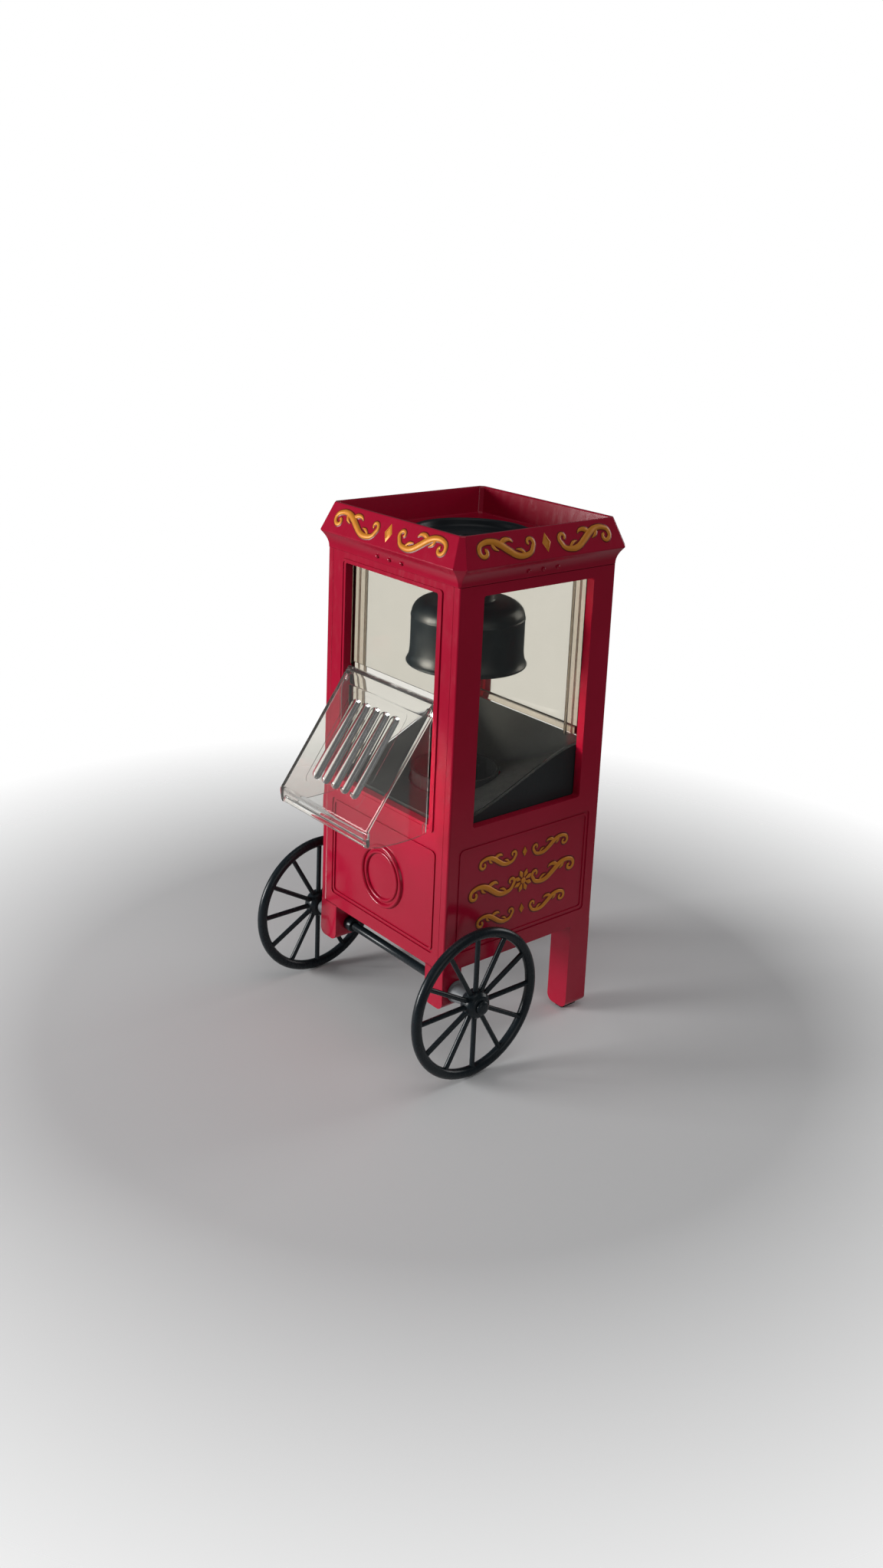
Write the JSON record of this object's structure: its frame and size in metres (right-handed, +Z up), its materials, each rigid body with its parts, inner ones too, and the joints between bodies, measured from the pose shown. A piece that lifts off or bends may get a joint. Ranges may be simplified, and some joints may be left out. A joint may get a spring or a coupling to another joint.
{
  "type": "popcorn maker",
  "caption": "Cart-style hot-air popcorn maker: glazed red cabinet with flared tray top, hanging kettle, hinged clear chute hood, spoked wheels and rear legs.",
  "frame": {"origin": "on the ground under the middle of the overall outline, chute and wheels included", "axes": "+Z up, -Y towards the front with the chute, +X to the object's own left as it faces forward, which is the viewer's right"},
  "size_m": [0.2488, 0.2468, 0.4558],
  "materials": {
    "red_gloss": "glazed red moulding",
    "black_satin": "satin black moulding",
    "slate_matte": "matte slate moulding",
    "clear_plastic": "clear moulded plastic",
    "plated_steel": "plated steel",
    "chamber_alloy": "spun aluminium",
    "mica_board": "mica and board",
    "pad_rubber": "rubber",
    "grey_plastic": "grey moulding"
  },
  "bodies": {
    "cabinet": {"left_side_panel": "red_gloss", "right_side_panel": "red_gloss", "front_panel": "red_gloss", "rear_panel": "red_gloss", "canopy_tray": "red_gloss", "ceiling_plate": "red_gloss", "bottom_plate": "black_satin", "kernel_funnel": "black_satin", "kettle_housing": "black_satin", "thermostat": "black_satin", "switch_bezel": "black_satin", "cord_inlet": "black_satin", "front_axle": "black_satin", "left_hub_cap": "black_satin", "right_hub_cap": "black_satin", "left_axle_bush": "black_satin", "right_axle_bush": "black_satin", "popcorn_slide": "slate_matte", "air_duct": "slate_matte", "motor_bracket": "slate_matte", "window_liner": "clear_plastic", "left_hood_pin": "plated_steel", "right_hood_pin": "plated_steel", "motor_housing": "plated_steel", "heating_element": "plated_steel", "thermal_fuse": "plated_steel", "base_screw_1": "plated_steel", "base_screw_2": "plated_steel", "base_screw_3": "plated_steel", "base_screw_4": "plated_steel", "rear_screw_1": "plated_steel", "rear_screw_2": "plated_steel", "rear_screw_3": "plated_steel", "rear_screw_4": "plated_steel", "popping_chamber": "chamber_alloy", "heater_frame": "mica_board", "rectifier_board": "mica_board", "terminal_block": "mica_board", "left_foot_pad": "pad_rubber", "right_foot_pad": "pad_rubber", "left_wheel_spacer": "grey_plastic", "right_wheel_spacer": "grey_plastic"},
    "chute": {"chute_hood": "clear_plastic"},
    "left_wheel_body": {"left_wheel": "black_satin"},
    "right_wheel_body": {"right_wheel": "black_satin"},
    "filler_lid": {"kernel_lid": "black_satin"},
    "rotor": {"motor_shaft": "plated_steel", "fan_impeller": "grey_plastic"},
    "rocker": {"rocker_switch": "black_satin"}
  },
  "joints": [
    {"name": "chute_hood_hinge", "type": "hinge", "parent": "cabinet", "child": "chute", "pos_m": [0, -0.05315, 0.311], "axis": [-1, 0, 0], "range_deg": [0, 50]},
    {"name": "left_wheel_spin", "type": "hinge", "parent": "cabinet", "child": "left_wheel_body", "pos_m": [-0.1125, -0.04415, 0.0665], "axis": [1, 0, 0], "continuous": true},
    {"name": "right_wheel_spin", "type": "hinge", "parent": "cabinet", "child": "right_wheel_body", "pos_m": [0.1125, -0.04415, 0.0665], "axis": [1, 0, 0], "continuous": true},
    {"name": "kernel_lid_lift", "type": "slide", "parent": "cabinet", "child": "filler_lid", "axis": [0, 0, 1], "range_m": [0, 0.06]},
    {"name": "fan_spin", "type": "hinge", "parent": "cabinet", "child": "rotor", "pos_m": [0, 0.01985, 0.098], "axis": [0, 0, 1], "continuous": true},
    {"name": "rocker_tilt", "type": "hinge", "parent": "cabinet", "child": "rocker", "pos_m": [-0.04, 0.11435, 0.15], "axis": [-1, 0, 0], "range_deg": [0, 13]}
  ]
}
